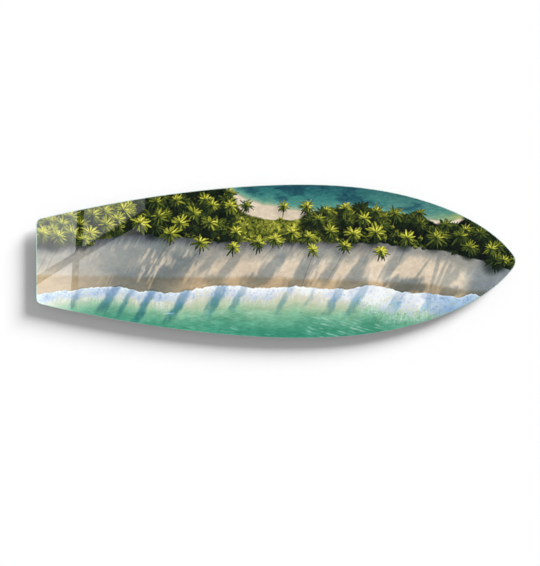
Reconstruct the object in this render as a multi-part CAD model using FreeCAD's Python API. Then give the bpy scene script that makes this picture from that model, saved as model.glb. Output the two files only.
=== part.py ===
"""Surfboard-shaped printed glass wall panel, hung clear of the wall on an aluminium sub-frame.

Millimetres. X runs along the board from its square tail (-X) to its pointed nose (+X), Z is up and
+Y points into the wall. The origin is the centre of the four wall-screw holes, on the wall plane y = 0,
so everything lies at negative y and the printed face looks along -Y.

From the front: toughened glass, colour ink, white ink, safety film, bonding tape, sub-frame. The
sub-frame's top rail drops over two hooked wall hangers and stands on their levelling screws.
"""

import FreeCAD
import Part
import math
import os

V = FreeCAD.Vector

# ---- driving dimensions -------------------------------------------------------------------------
BOARD_LENGTH = 1100.0
BOARD_WIDTH = 353.0
TAIL_CORNER_R = 16.0
# Half outline, tail to nose: (share of the length, share of the half width). The tip closes it.
TAIL_STATION = (0.0, 0.545)
SIDE_STATIONS = [
    (0.135, 0.725),
    (0.26, 0.856),
    (0.40, 0.957),
    (0.55, 1.0),
    (0.678, 0.958),
    (0.782, 0.838),
    (0.866, 0.660),
    (0.929, 0.456),
    (0.971, 0.255),
    (0.992, 0.113),
]

GLASS_T = 4.0
GLASS_ARRIS = 0.6  # ground 45 degree edge, front and back
INK_T = 0.15
INK_INSET = 1.0  # the print stops where the ground edge begins
FILM_T = 0.3
FILM_INSET = 3.0
TAPE_T = 1.1
TAPE_W = 22.0
INSET_STEPS = 60  # points that carry an inset outline, closer together towards the nose

FRAME_LENGTH = 700.0
FRAME_HEIGHT = 190.0
RAIL_DEPTH = 20.0  # front flange to back lip
RAIL_FLANGE = 30.0  # bonded front flange
RAIL_LIP = 12.0  # back lip that hooks over the hangers
RAIL_WALL = 2.0
RAIL_EDGE_R = 0.8
WALL_GAP = 6.0  # back lip to wall

HANGER_SPACING = 460.0
HOLE_SPACING = 16.0
HOLE_R = 2.6
SHEET_T = 2.0
HANGER_W = 40.0
HANGER_TAIL = 18.0  # plate below the origin
HANGER_CORNER_R = 5.0
SHELF_TOP = 29.0
SHELF_REACH = 14.0
HOOK_TOP = 39.0
BEND_R = 1.2

SCREW_R = 2.0
SCREW_FIT = 0.05  # radial clearance in the tapped hole and nut
SCREW_STANDOUT = 1.9  # tip above the shelf
LIP_FIT = 0.05  # rail lip above the screw tips
SCREW_HEAD_R = 3.2
SCREW_HEAD_H = 4.0
SCREW_LENGTH = 11.9
HEAD_FLUTES = 16
SOCKET_AF = 2.5
NUT_AF = 7.0
NUT_H = 3.2

ANGLE_LEG = 30.0
ANGLE_W = 14.0
ANGLE_T = 2.5
RIVET_R = 1.6
RIVET_FIT = 0.05
RIVET_HEAD_R = 3.2
RIVET_HEAD_H = 1.1
RIVET_TAIL_R = 2.3
RIVET_TAIL_H = 1.8
MANDREL_R = 0.9  # the hole the snapped mandrel leaves in the head
MANDREL_DEPTH = 0.7

BUMPER_R = 5.5
BUMPER_OFFSET = 300.0
BUMPER_SCREW_R = 1.5
BUMPER_HEAD_R = 2.6
BUMPER_HEAD_H = 1.7
BUMPER_SCREW_TIP = 4.0  # past the back lip, inside the rail
SEAT_DEPTH = 2.6  # counterbore in the rubber

# ---- derived positions --------------------------------------------------------------------------
LIP_BACK = -WALL_GAP
LIP_FRONT = LIP_BACK - RAIL_WALL
LIP_MID = (LIP_BACK + LIP_FRONT) / 2
RAIL_FRONT = LIP_BACK - RAIL_DEPTH
TAPE_FRONT = RAIL_FRONT - TAPE_T
FILM_FRONT = TAPE_FRONT - FILM_T
WHITE_FRONT = FILM_FRONT - INK_T
IMAGE_FRONT = WHITE_FRONT - INK_T
GLASS_FRONT = IMAGE_FRONT - GLASS_T

SCREW_TIP_Z = SHELF_TOP + SCREW_STANDOUT
LIP_EDGE_Z = SCREW_TIP_Z + LIP_FIT
FRAME_TOP = LIP_EDGE_Z + RAIL_LIP
FRAME_BOTTOM = FRAME_TOP - FRAME_HEIGHT
FRAME_HALF = FRAME_LENGTH / 2
BOARD_MID_Z = (FRAME_TOP + FRAME_BOTTOM) / 2

OUT = "parts"


# ---- helpers ------------------------------------------------------------------------------------
def spline(points, side):
    """A curve through the points that ends square to the board's axis, at the nose."""
    last = len(points) - 1
    tangents = [V(1, 0, 0)] * last + [V(0, 0, -side)]
    flags = [False] * last + [True]
    curve = Part.BSplineCurve()
    curve.interpolate(Points=points, Tangents=tangents, TangentFlags=flags)
    return curve


def side_curve(side, y, inset):
    """One side of the outline at depth y, from the tail at x = 0 to the nose, drawn in by the inset."""
    half = BOARD_WIDTH / 2
    stations = [TAIL_STATION] + SIDE_STATIONS + [(1.0, 0.0)]
    curve = spline([V(along * BOARD_LENGTH, y, side * out * half) for along, out in stations], side)
    if not inset:
        return curve
    first, span = curve.FirstParameter, curve.LastParameter - curve.FirstParameter
    drawn_in = []
    for i in range(INSET_STEPS + 1):
        at = first + span * math.sin(math.pi / 2 * i / INSET_STEPS)
        tangent = curve.tangent(at)[0].normalize()
        drawn_in.append(curve.value(at) + V(tangent.z, 0, -tangent.x) * side * inset)
    return spline(drawn_in, side)


def board_face(y, inset):
    """The board's outline at depth y, drawn in on its long sides and its nose by the inset."""
    curves = [side_curve(side, y, inset) for side in (1, -1)]
    sides = [c.toShape() for c in curves]
    tail = Part.makeLine(*[c.value(c.FirstParameter) for c in curves])
    return Part.Face(Part.Wire(Part.__sortEdges__(sides + [tail])))


def board_plate(front, thickness, inset=0.0):
    """A plate of the board's outline, its front face at y = front, with rounded tail corners."""
    plate = board_face(front, inset).extrude(V(0, thickness, 0))
    if inset:
        half = BOARD_WIDTH / 2
        plate = plate.common(box(inset, BOARD_LENGTH, front, front + thickness, -half, half))
    corners = [e for e in plate.Edges if is_tail_corner(e, inset)]
    plate = plate.makeFillet(TAIL_CORNER_R - inset, corners).Solids[0]
    plate.translate(V(-board_face(front, 0).CenterOfMass.x, 0, BOARD_MID_Z))
    return plate


def is_tail_corner(edge, tail_x):
    """True for the two straight edges that cross the plate at the ends of its square tail."""
    a, b = edge.Vertexes[0].Point, edge.Vertexes[-1].Point
    return abs(a.x - tail_x) < 0.01 and abs(b.x - tail_x) < 0.01 and abs(a.y - b.y) > 0.01


def box(x0, x1, y0, y1, z0, z1):
    return Part.makeBox(x1 - x0, y1 - y0, z1 - z0, V(x0, y0, z0))


def cylinder(radius, height, base, axis):
    return Part.makeCylinder(radius, height, base, axis)


def prism(points, along):
    """A closed polygon swept along a vector."""
    return Part.Face(Part.makePolygon(points + points[:1])).extrude(along)


def hexagon(flats, height, base):
    """A hexagonal prism standing on +Z, with two of its flats square to Y."""
    reach = flats / math.sqrt(3)
    angles = [math.radians(60 * i) for i in range(6)]
    points = [base + V(reach * math.cos(a), reach * math.sin(a), 0) for a in angles]
    return prism(points, V(0, 0, height))


def save(name, *solids):
    shape = solids[0] if len(solids) == 1 else Part.makeCompound(list(solids))
    if not shape.isValid():
        raise ValueError(name + " is not a valid shape")
    shape.exportStep(os.path.join(OUT, name + ".step"))


# ---- glass and the layers behind it -------------------------------------------------------------
def glass_panel():
    plate = board_plate(GLASS_FRONT, GLASS_T)
    rims = [e for f in plate.Faces if abs(f.normalAt(0, 0).y) > 0.99 for e in f.Edges]
    return plate.makeChamfer(GLASS_ARRIS, rims)


def bonding_tapes():
    """Four strips of foam tape, centred on the frame's front flanges, the side ones between."""
    mid = RAIL_FLANGE / 2
    half_w = TAPE_W / 2
    across = FRAME_HALF - RAIL_FLANGE / 2 + half_w
    top, bottom = FRAME_TOP - mid, FRAME_BOTTOM + mid
    side_x = FRAME_HALF - mid
    tapes = {}
    for name, z in (("top", top), ("bottom", bottom)):
        tapes[name] = box(-across, across, TAPE_FRONT, RAIL_FRONT, z - half_w, z + half_w)
    for name, x in (("left", -side_x), ("right", side_x)):
        low, high = bottom + half_w, top - half_w
        tapes[name] = box(x - half_w, x + half_w, TAPE_FRONT, RAIL_FRONT, low, high)
    return tapes


# ---- sub-frame ----------------------------------------------------------------------------------
def frame_side(length):
    """One mitred side, lying along X with its outer face up at z = 0 and its mitres at 45 degrees."""
    y0, y1, t = RAIL_FRONT, LIP_BACK, RAIL_WALL
    outline = [(y0, 0), (y1, 0), (y1, -RAIL_LIP), (y1 - t, -RAIL_LIP)]
    outline += [(y1 - t, -t), (y0 + t, -t), (y0 + t, -RAIL_FLANGE), (y0, -RAIL_FLANGE)]
    bar = prism([V(-length / 2, y, z) for y, z in outline], V(length, 0, 0))
    outer = [e for e in bar.Edges if runs_along_x(e) and e.Vertexes[0].Z == 0]
    bar = bar.makeFillet(RAIL_EDGE_R, outer)
    half, deep = length / 2, RAIL_FLANGE
    mitre = [V(-half, y0, 0), V(half, y0, 0), V(half - deep, y0, -deep), V(deep - half, y0, -deep)]
    return bar.common(prism(mitre, V(0, RAIL_DEPTH, 0))).Solids[0]


def runs_along_x(edge):
    a, b = edge.Vertexes[0].Point, edge.Vertexes[-1].Point
    return abs(a.x - b.x) > 1 and abs(a.y - b.y) < 0.01 and abs(a.z - b.z) < 0.01


def turned(shape, degrees, x, z):
    """The shape turned about Y and set down at x, z."""
    moved = shape.copy()
    moved.rotate(V(0, 0, 0), V(0, 1, 0), degrees)
    moved.translate(V(x, 0, z))
    return moved


def frame_sides():
    long_side, short_side = frame_side(FRAME_LENGTH), frame_side(FRAME_HEIGHT)
    return {
        "top_rail": turned(long_side, 0, 0, FRAME_TOP),
        "bottom_rail": turned(long_side, 180, 0, FRAME_BOTTOM),
        "right_stile": turned(short_side, 90, FRAME_HALF, BOARD_MID_Z),
        "left_stile": turned(short_side, -90, -FRAME_HALF, BOARD_MID_Z),
    }


def corner_places():
    """Each corner's name, and the signs that point from the frame's middle towards it."""
    for z_name, up in (("top", 1), ("bottom", -1)):
        for x_name, out in (("left", -1), ("right", 1)):
            yield z_name + "_" + x_name, out, up


def corner_z(up):
    return FRAME_TOP if up > 0 else FRAME_BOTTOM


def corner_angle(out, up):
    """The L-shaped strip inside a corner, a leg flat against each of the two sides."""
    x_in, z_in = out * (FRAME_HALF - RAIL_WALL), corner_z(up) - up * RAIL_WALL
    y_mid = (RAIL_FRONT + LIP_BACK) / 2
    legs = [(0, 0), (ANGLE_LEG, 0), (ANGLE_LEG, ANGLE_T), (ANGLE_T, ANGLE_T)]
    legs += [(ANGLE_T, ANGLE_LEG), (0, ANGLE_LEG)]
    points = [V(x_in - out * a, y_mid - ANGLE_W / 2, z_in - up * b) for a, b in legs]
    return prism(points, V(0, ANGLE_W, 0))


def rivet_places(out, up):
    """Where the two rivets of a corner enter from outside, and the way they point."""
    y_mid = (RAIL_FRONT + LIP_BACK) / 2
    reach = RAIL_WALL + ANGLE_LEG * 0.6
    x_out, z_out = out * FRAME_HALF, corner_z(up)
    yield V(x_out - out * reach, y_mid, z_out), V(0, 0, -up)
    yield V(x_out, y_mid, z_out - up * reach), V(-out, 0, 0)


def rivet(place, inward):
    """A dome-headed blind rivet through a side's wall and the angle behind it."""
    grip = RAIL_WALL + ANGLE_T
    shank = cylinder(RIVET_R, grip, place, inward)
    rim = math.hypot(RIVET_HEAD_R, RIVET_HEAD_H)
    dome_r = rim * rim / (2 * RIVET_HEAD_H)
    ball = Part.makeSphere(dome_r, place + inward * (dome_r - RIVET_HEAD_H))
    head = ball.common(cylinder(dome_r, RIVET_HEAD_H, place - inward * RIVET_HEAD_H, inward))
    tail = cylinder(RIVET_TAIL_R, RIVET_TAIL_H, place + inward * grip, inward)
    rounded = [e for e in tail.Edges if len(e.Vertexes) == 1]
    tail = tail.makeFillet(RIVET_TAIL_H * 0.3, rounded)
    mandrel_hole = cylinder(MANDREL_R, MANDREL_DEPTH, place - inward * RIVET_HEAD_H, inward)
    return shank.fuse(head).fuse(tail).cut(mandrel_hole).removeSplitter().Solids[0]


def rivet_hole(place, inward):
    return cylinder(RIVET_R + RIVET_FIT, 3 * RAIL_WALL, place - inward * RAIL_WALL / 2, inward)


# ---- wall bumpers on the bottom rail ------------------------------------------------------------
def bumper(x, z):
    disc = cylinder(BUMPER_R, WALL_GAP, V(x, LIP_BACK, z), V(0, 1, 0))
    rim = [e for e in disc.Edges if len(e.Vertexes) == 1 and abs(e.Vertexes[0].Y) < 0.01]
    disc = disc.makeFillet(0.8, rim)
    bore = cylinder(BUMPER_SCREW_R + 0.05, WALL_GAP, V(x, LIP_BACK, z), V(0, 1, 0))
    seat = cylinder(BUMPER_HEAD_R + 0.3, SEAT_DEPTH, V(x, -SEAT_DEPTH, z), V(0, 1, 0))
    return disc.cut(bore).cut(seat)


def bumper_screw(x, z):
    under_head = V(x, -SEAT_DEPTH, z)
    length = LIP_FRONT - BUMPER_SCREW_TIP + SEAT_DEPTH
    shank = cylinder(BUMPER_SCREW_R, -length, under_head, V(0, -1, 0))
    tip = max((e for e in shank.Edges if len(e.Vertexes) == 1), key=lambda e: -e.Vertexes[0].Y)
    shank = shank.makeChamfer(0.7, [tip])
    head = cylinder(BUMPER_HEAD_R, BUMPER_HEAD_H, under_head, V(0, 1, 0))
    rim = [e for e in head.Edges if len(e.Vertexes) == 1 and e.Vertexes[0].Y > -SEAT_DEPTH + 0.1]
    head = head.makeFillet(0.6, rim)
    arm = BUMPER_HEAD_R * 0.6
    slot = 0.35
    deep = BUMPER_HEAD_H * 0.55
    y0 = -SEAT_DEPTH + BUMPER_HEAD_H - deep
    cross = box(x - arm, x + arm, y0, 0, z - slot, z + slot)
    cross = cross.fuse(box(x - slot, x + slot, y0, 0, z - arm, z + arm))
    return shank.fuse(head).cut(cross).removeSplitter().Solids[0]


# ---- wall hangers -------------------------------------------------------------------------------
def wall_hanger(x):
    """A bent steel plate: flat on the wall, a shelf at its top and an upturned hook at its front."""
    t, low = SHEET_T, -HANGER_TAIL
    outline = [(0, low), (0, SHELF_TOP), (-SHELF_REACH + t, SHELF_TOP), (-SHELF_REACH + t, HOOK_TOP)]
    outline += [(-SHELF_REACH, HOOK_TOP), (-SHELF_REACH, SHELF_TOP - t), (-t, SHELF_TOP - t), (-t, low)]
    plate = prism([V(x - HANGER_W / 2, y, z) for y, z in outline], V(HANGER_W, 0, 0))
    outer = bend_edges(plate, [(0, SHELF_TOP), (-SHELF_REACH, SHELF_TOP - t)])
    plate = plate.makeFillet(BEND_R + t, outer)
    inner = bend_edges(plate, [(-t, SHELF_TOP - t), (-SHELF_REACH + t, SHELF_TOP)])
    plate = plate.makeFillet(BEND_R, inner)
    corners = [e for e in plate.Edges if is_plate_corner(e, low) or is_plate_corner(e, HOOK_TOP)]
    plate = plate.makeFillet(HANGER_CORNER_R, corners)
    for z in (-HOLE_SPACING / 2, HOLE_SPACING / 2):
        plate = plate.cut(cylinder(HOLE_R, 2 * t, V(x, -1.5 * t, z), V(0, 1, 0)))
    tapped = cylinder(SCREW_R + SCREW_FIT, 2 * t, V(x, LIP_MID, SHELF_TOP - 1.5 * t), V(0, 0, 1))
    return plate.cut(tapped).Solids[0]


def bend_edges(plate, places):
    """The edges that run along X through the given (y, z) places."""
    found = []
    for e in plate.Edges:
        at = e.Vertexes[0].Point
        if runs_along_x(e) and any(abs(at.y - y) < 0.01 and abs(at.z - z) < 0.01 for y, z in places):
            found.append(e)
    return found


def is_plate_corner(edge, z):
    """True for an edge that crosses the sheet at a free end of the bent plate."""
    a, b = edge.Vertexes[0].Point, edge.Vertexes[-1].Point
    return abs(a.z - z) < 0.01 and abs(b.z - z) < 0.01 and abs(a.x - b.x) < 0.01


def weld_nut(x):
    base = V(x, LIP_MID, SHELF_TOP - SHEET_T - NUT_H)
    nut = hexagon(NUT_AF, NUT_H, base)
    cone = Part.makeCone(NUT_AF / 2 + 0.1, NUT_AF / 2 + 0.1 + NUT_H * 1.7, NUT_H, base)
    bore = cylinder(SCREW_R + SCREW_FIT, NUT_H, base, V(0, 0, 1))
    return nut.common(cone).cut(bore).Solids[0]


def levelling_screw(x):
    """A thumb screw that stands head down: fluted head with a hex socket, and a coned tip."""
    up = V(0, 0, 1)
    foot = V(x, LIP_MID, SCREW_TIP_Z - SCREW_LENGTH - SCREW_HEAD_H)
    head = cylinder(SCREW_HEAD_R, SCREW_HEAD_H, foot, up)
    head = head.makeChamfer(0.4, [e for e in head.Edges if len(e.Vertexes) == 1])
    for i in range(HEAD_FLUTES):
        a = 2 * math.pi * i / HEAD_FLUTES
        at = foot + V(SCREW_HEAD_R * 1.06 * math.cos(a), SCREW_HEAD_R * 1.06 * math.sin(a), 0)
        head = head.cut(cylinder(0.4, SCREW_HEAD_H, at, up))
    shank = cylinder(SCREW_R, SCREW_LENGTH, foot + up * SCREW_HEAD_H, up)
    top = [e for e in shank.Edges if len(e.Vertexes) == 1 and e.Vertexes[0].Z > SHELF_TOP]
    shank = shank.makeChamfer(0.6, top)
    screw = head.fuse(shank)
    return screw.cut(hexagon(SOCKET_AF, SCREW_HEAD_H * 0.6, foot)).removeSplitter().Solids[0]


# ---- the whole object ---------------------------------------------------------------------------
def main():
    os.makedirs(OUT, exist_ok=True)

    save("glass_panel", glass_panel())
    save("image_ink", board_plate(IMAGE_FRONT, INK_T, INK_INSET))
    save("white_ink", board_plate(WHITE_FRONT, INK_T, INK_INSET))
    save("safety_film", board_plate(FILM_FRONT, FILM_T, FILM_INSET))
    for name, tape in bonding_tapes().items():
        save("bonding_tape_" + name, tape)

    sides = frame_sides()
    for name, out, up in corner_places():
        angle = corner_angle(out, up)
        rivets = []
        for place, inward in rivet_places(out, up):
            hole = rivet_hole(place, inward)
            angle = angle.cut(hole)
            sides = {side: shape.cut(hole) for side, shape in sides.items()}
            rivets.append(rivet(place, inward))
        save("corner_angle_" + name, angle)
        save("corner_rivets_" + name, *rivets)

    lip_z = FRAME_BOTTOM + RAIL_LIP / 2
    for name, side in (("left", -1), ("right", 1)):
        x = side * BUMPER_OFFSET
        hole = cylinder(BUMPER_SCREW_R + 0.05, 2 * RAIL_WALL, V(x, LIP_BACK + 1, lip_z), V(0, -1, 0))
        sides["bottom_rail"] = sides["bottom_rail"].cut(hole)
        save("wall_bumper_" + name, bumper(x, lip_z))
        save("bumper_screw_" + name, bumper_screw(x, lip_z))
    for name, shape in sides.items():
        save("frame_" + name, shape.Solids[0])

    for name, side in (("left", -1), ("right", 1)):
        x = side * HANGER_SPACING / 2
        save("wall_hanger_" + name, wall_hanger(x))
        save("weld_nut_" + name, weld_nut(x))
        save("levelling_screw_" + name, levelling_screw(x))


main()
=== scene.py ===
"""Looks of the surfboard-shaped glass wall panel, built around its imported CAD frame.

Metres. X runs to the nose, Z is up, and +Y points into the wall, whose face is y = 0. The beach print
is painted on a canvas in millimetres: along the board from its tail, and across it from its axis, up.
"""

import math

import bpy
import numpy as np
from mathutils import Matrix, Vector


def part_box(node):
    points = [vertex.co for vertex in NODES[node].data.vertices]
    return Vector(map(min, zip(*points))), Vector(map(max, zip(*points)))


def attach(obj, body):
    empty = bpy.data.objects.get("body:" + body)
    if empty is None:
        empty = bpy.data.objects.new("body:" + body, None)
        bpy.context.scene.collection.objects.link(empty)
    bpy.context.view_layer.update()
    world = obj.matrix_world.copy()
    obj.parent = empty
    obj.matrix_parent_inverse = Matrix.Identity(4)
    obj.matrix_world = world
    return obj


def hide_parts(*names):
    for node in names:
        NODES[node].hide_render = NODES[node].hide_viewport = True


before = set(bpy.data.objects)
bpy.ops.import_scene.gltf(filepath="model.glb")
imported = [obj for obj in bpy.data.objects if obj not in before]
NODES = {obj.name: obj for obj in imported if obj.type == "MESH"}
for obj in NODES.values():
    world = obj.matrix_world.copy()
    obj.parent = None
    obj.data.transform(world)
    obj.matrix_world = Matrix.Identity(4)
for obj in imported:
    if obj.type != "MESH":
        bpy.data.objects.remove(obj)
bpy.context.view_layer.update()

MM = 0.001
LOW, HIGH = [Vector(corner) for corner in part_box("glass_panel")]
LENGTH = HIGH.x - LOW.x
WIDTH = HIGH.z - LOW.z
AXIS_Z = (HIGH.z + LOW.z) / 2
GLASS_FRONT = LOW.y

# ---- camera and light ---------------------------------------------------------------------------
LENS_MM = 85.0
SENSOR_MM = 36.0
VIEW_HEIGHT = 1.1802 * LENGTH
CAMERA_X = (LOW.x + HIGH.x) / 2 - 0.0122 * LENGTH
CAMERA_Z = AXIS_Z - 0.0454 * LENGTH
CAMERA_DISTANCE = VIEW_HEIGHT * LENS_MM / SENSOR_MM
SUN_FROM = Vector((1.64, -1.0, 1.48)).normalized()
SUN_ANGLE = math.radians(23)
SUN_STRENGTH = 5.9
SKY_STRENGTH = 0.46
DIM_ROOM, BRIGHT_ROOM = 0.02, 0.9  # what reflections find behind the camera, and behind the wall
REAR_FROM = Vector((-0.55, 1.0, 0.75))
REAR_ANGLE = math.radians(35)
REAR_STRENGTH = 1.9
WALL_WHITE = 0.82
FLOOR_DROP = 1.3  # from the wall screws down

# ---- the painted beach, in millimetres ----------------------------------------------------------
CELL = 0.8
SEED = 20
L_MM = LENGTH / MM
W_MM = WIDTH / MM
# Lines across the picture: (share of the length from the tail, millimetres above the axis).
FOAM_LINE = [(0, -76), (0.08, -67), (0.18, -58), (0.215, -68), (0.29, -76), (0.34, -62), (0.40, -56),
             (0.45, -61), (0.54, -59), (0.64, -67), (0.69, -57), (0.72, -58), (0.76, -72), (0.80, -79),
             (0.82, -74), (0.88, -86), (0.90, -75), (0.94, -84), (1, -84)]
WET_LINE = [(0, -30), (0.25, -36), (0.5, -38), (0.7, -44), (0.82, -54), (0.92, -66), (1, -70)]
GREEN_LINE = [(0, 36), (0.1, 38), (0.17, 62), (0.28, 58), (0.36, 46), (0.6, 45), (0.75, 38), (0.84, 28),
              (0.92, 4), (0.96, -12), (1, -26)]
SHORE_LINE = [(0, 320), (0.38, 190), (0.42, 150), (0.47, 128), (0.55, 118), (0.60, 112), (0.66, 114),
              (0.74, 104), (0.83, 92), (0.87, 88), (0.905, 110), (0.94, 150), (1, 170)]
BUSH_LINE = [(0, 320), (0.38, 190), (0.41, 142), (0.432, 108), (0.5, 96), (0.55, 98), (0.58, 114),
             (0.64, 124), (0.72, 116), (0.79, 104), (0.83, 88), (0.875, 80), (0.91, 118), (1, 170)]
# How much of the sand lies in the palms' shade: (share of the length from the tail, share).
SHADE_SHARE = [(0, 0.8), (0.3, 0.9), (0.36, 0.75), (0.42, 0.45), (0.52, 0.62), (0.62, 0.58), (0.70, 0.36),
               (0.78, 0.16), (0.86, 0.22), (0.92, 0.7), (1, 1.0)]
SHADOW_LEAN = 0.48  # millimetres back towards the tail for each one down
# Shadows that tall palms throw down the sand: the upper end, the lower end, half the width at each, depth.
CAST_BANDS = [
    ((468, 22), (410, -52), 10, 22, 0.75), ((566, 18), (502, -54), 19, 27, 0.85),
    ((644, 26), (597, -58), 22, 22, 0.8), ((704, 32), (660, -54), 14, 16, 0.75),
    ((758, 14), (722, -62), 14, 29, 0.75), ((842, 34), (798, -44), 18, 13, 0.75),
    ((917, 24), (862, -52), 3, 3, 0.6), ((929, 24), (904, -70), 4, 4, 0.6),
    ((950, 21), (914, -66), 3, 4, 0.55), ((962, 14), (926, -70), 5, 6, 0.6),
    ((984, 6), (940, -60), 6, 13, 0.6), ((700, 30), (676, -10), 3, 3, 0.5),
    ((424, 30), (372, -30), 12, 14, 0.7),
]
# The shadows of crowns low on the sand: place along and across, half the width and height, depth.
CAST_CROWNS = [
    (846, -56, 34, 18, 1.0), (822, -46, 20, 14, 0.8), (872, -62, 22, 12, 0.9), (950, -70, 28, 12, 0.95),
    (506, -44, 30, 16, 0.7), (600, -50, 26, 16, 0.7), (730, -50, 34, 18, 0.7), (412, -44, 24, 16, 0.6),
]
# Shadows on the water: place along the board at STREAK_LEVEL, half the width, reach, depth.
STREAK_LEVEL = -80
SURF_STREAKS = [
    (92, 7, 34, 0.5), (170, 12, 52, 0.95), (212, 6, 58, 0.75), (260, 10, 68, 0.95), (336, 12, 54, 0.95),
    (414, 12, 58, 0.9), (466, 9, 50, 0.6), (573, 7, 56, 0.5), (630, 5, 40, 0.35), (690, 10, 52, 0.6),
    (740, 12, 54, 0.6), (836, 14, 40, 0.45), (905, 8, 44, 0.4),
]
# White bursts where the swell breaks: place along and across, half its width and height.
BURSTS = [(776, -84, 34, 26), (884, -96, 13, 24), (712, -78, 26, 18), (620, -66, 30, 14), (498, -66, 34, 12),
          (306, -120, 11, 3)]
CRISP = 0.8  # how far the picture's fine contrast is raised
CRISP_REACH = 1.8


def smooth(low, high, value):
    t = np.clip((value - low) / (high - low), 0.0, 1.0)
    return t * t * (3 - 2 * t)


def line(points, along, soften=30.0):
    """A smooth line through the points, sampled at the canvas's columns."""
    shares, heights = zip(*points)
    raw = np.interp(along / L_MM, shares, heights)
    reach = int(soften / CELL)
    window = np.hanning(2 * reach + 1)
    padded = np.pad(raw, reach, mode="edge")
    return np.convolve(padded, window / window.sum(), mode="valid")


class Noise:
    """Seeded value noise over the plane, from 0 to 1."""

    SIZE = 512

    def __init__(self, seed):
        self.table = np.random.default_rng(seed).random((self.SIZE, self.SIZE))

    def __call__(self, x, y):
        x, y = np.broadcast_arrays(x, y)
        x0, y0 = np.floor(x).astype(int), np.floor(y).astype(int)
        fx, fy = x - x0, y - y0
        fx, fy = fx * fx * (3 - 2 * fx), fy * fy * (3 - 2 * fy)
        x0, y0 = x0 % self.SIZE, y0 % self.SIZE
        x1, y1 = (x0 + 1) % self.SIZE, (y0 + 1) % self.SIZE
        t = self.table
        low = t[y0, x0] * (1 - fx) + t[y0, x1] * fx
        high = t[y1, x0] * (1 - fx) + t[y1, x1] * fx
        return low * (1 - fy) + high * fy

    def layered(self, x, y, layers=4):
        total, weight = 0.0, 0.0
        for i in range(layers):
            total = total + self(x * 2**i + 17.3 * i, y * 2**i + 9.1 * i) * 0.5**i
            weight += 0.5**i
        return total / weight


def rgb(*levels):
    return np.array(levels, dtype=float) / 255


def mixed(under, over, share):
    return under + (over - under) * np.asarray(share)[..., None]


def ramp(value, stops):
    places = [place for place, _ in stops]
    channels = [np.interp(value, places, [colour[i] for _, colour in stops]) for i in range(3)]
    return np.stack(channels, axis=-1) / 255


class Canvas:
    """The picture: a grid of cells over the board's whole box, row 0 at the bottom."""

    def __init__(self):
        self.along = np.arange(0, L_MM + CELL, CELL)
        self.across = np.arange(-W_MM / 2, W_MM / 2 + CELL, CELL)
        self.x, self.v = np.meshgrid(self.along, self.across)
        self.colour = np.zeros(self.x.shape + (3,))
        self.noise = Noise(SEED)

    def lay(self, colour, share):
        self.colour = mixed(self.colour, colour, share)

    def window(self, x0, x1, v0, v1):
        """The slices of rows and columns that cover a patch, or None where it is off the canvas."""
        c0, c1 = int((x0 - self.along[0]) / CELL), int((x1 - self.along[0]) / CELL) + 2
        r0, r1 = int((v0 - self.across[0]) / CELL), int((v1 - self.across[0]) / CELL) + 2
        c0, r0 = max(c0, 0), max(r0, 0)
        c1, r1 = min(c1, len(self.along)), min(r1, len(self.across))
        if c0 >= c1 or r0 >= r1:
            return None
        return slice(r0, r1), slice(c0, c1)


def blurred(field, sigma):
    """A soft copy of a field, by a Gaussian along each side in turn."""
    reach = max(1, int(3 * sigma / CELL))
    steps = np.arange(-reach, reach + 1) * CELL
    kernel = np.exp(-0.5 * (steps / sigma) ** 2)
    kernel /= kernel.sum()
    for axis in (0, 1):
        pads = [(reach, reach) if a == axis else (0, 0) for a in range(field.ndim)]
        wide = np.pad(field, pads, mode="edge")
        size = field.shape[axis]
        parts = [np.take(wide, range(i, i + size), axis) * k for i, k in enumerate(kernel)]
        field = sum(parts)
    return field


# ---- palms --------------------------------------------------------------------------------------
FROND_TONES = [(0.0, (8, 20, 12)), (0.2, (38, 54, 24)), (0.45, (88, 100, 34)), (0.7, (146, 150, 44)),
               (1.0, (216, 210, 84))]
LIGHT_ANGLE = math.radians(58)  # where the light comes from over the picture, from its length
# Palms that stand at the sand and the lagoon: millimetres from the tail and above the axis, crown radius.
PLACED_PALMS = [
    (14, 62, 27), (26, 92, 30), (50, 56, 29), (58, 84, 25), (76, 102, 28), (82, 64, 24), (100, 84, 27),
    (122, 64, 24), (4, 96, 24), (130, 106, 26), (155, 115, 27), (160, 84, 25), (186, 96, 22),
    (36, 72, 22), (110, 50, 18), (200, 118, 26), (238, 88, 25), (275, 136, 24), (281, 102, 25),
    (307, 62, 26), (330, 88, 25), (321, 140, 22), (361, 109, 24), (376, 43, 21), (388, 142, 22),
    (399, 88, 24), (404, 128, 22), (445, 158, 20), (445, 126, 24), (482, 128, 20), (459, 67, 24),
    (453, 32, 20), (511, 42, 20), (548, 50, 21), (568, 126, 19), (588, 66, 23), (622, 126, 21),
    (625, 55, 20), (635, 26, 17), (648, 96, 20), (667, 117, 17), (676, 69, 22), (709, 122, 23),
    (709, 35, 18), (729, 62, 26), (752, 97, 24), (780, 66, 26), (780, 114, 21), (792, 23, 18),
    (823, 109, 22), (852, 54, 25), (881, 110, 20), (881, 86, 25), (918, 54, 27), (940, 83, 23),
    (973, 58, 25), (995, 32, 22), (986, 72, 19), (1018, 64, 24), (1044, 28, 23), (1073, 2, 21),
]
WOOD_ROWS = np.arange(26, 190, 22)  # rows of palms behind the placed ones, above the sand's edge
WOOD_BED = 0.6  # how dark the ground is under a palm of those rows
WOOD_LEAD = 60  # how much further up such a palm counts as standing, so that the placed ones cover it
TRUNK_LENGTH = 24.0
TRUNK_HALF = 0.9
BARB_SPACING = 3.4  # along a frond
FINE_END = 0.19 * L_MM  # up to here from the tail the crowns have narrower and more fronds


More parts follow.
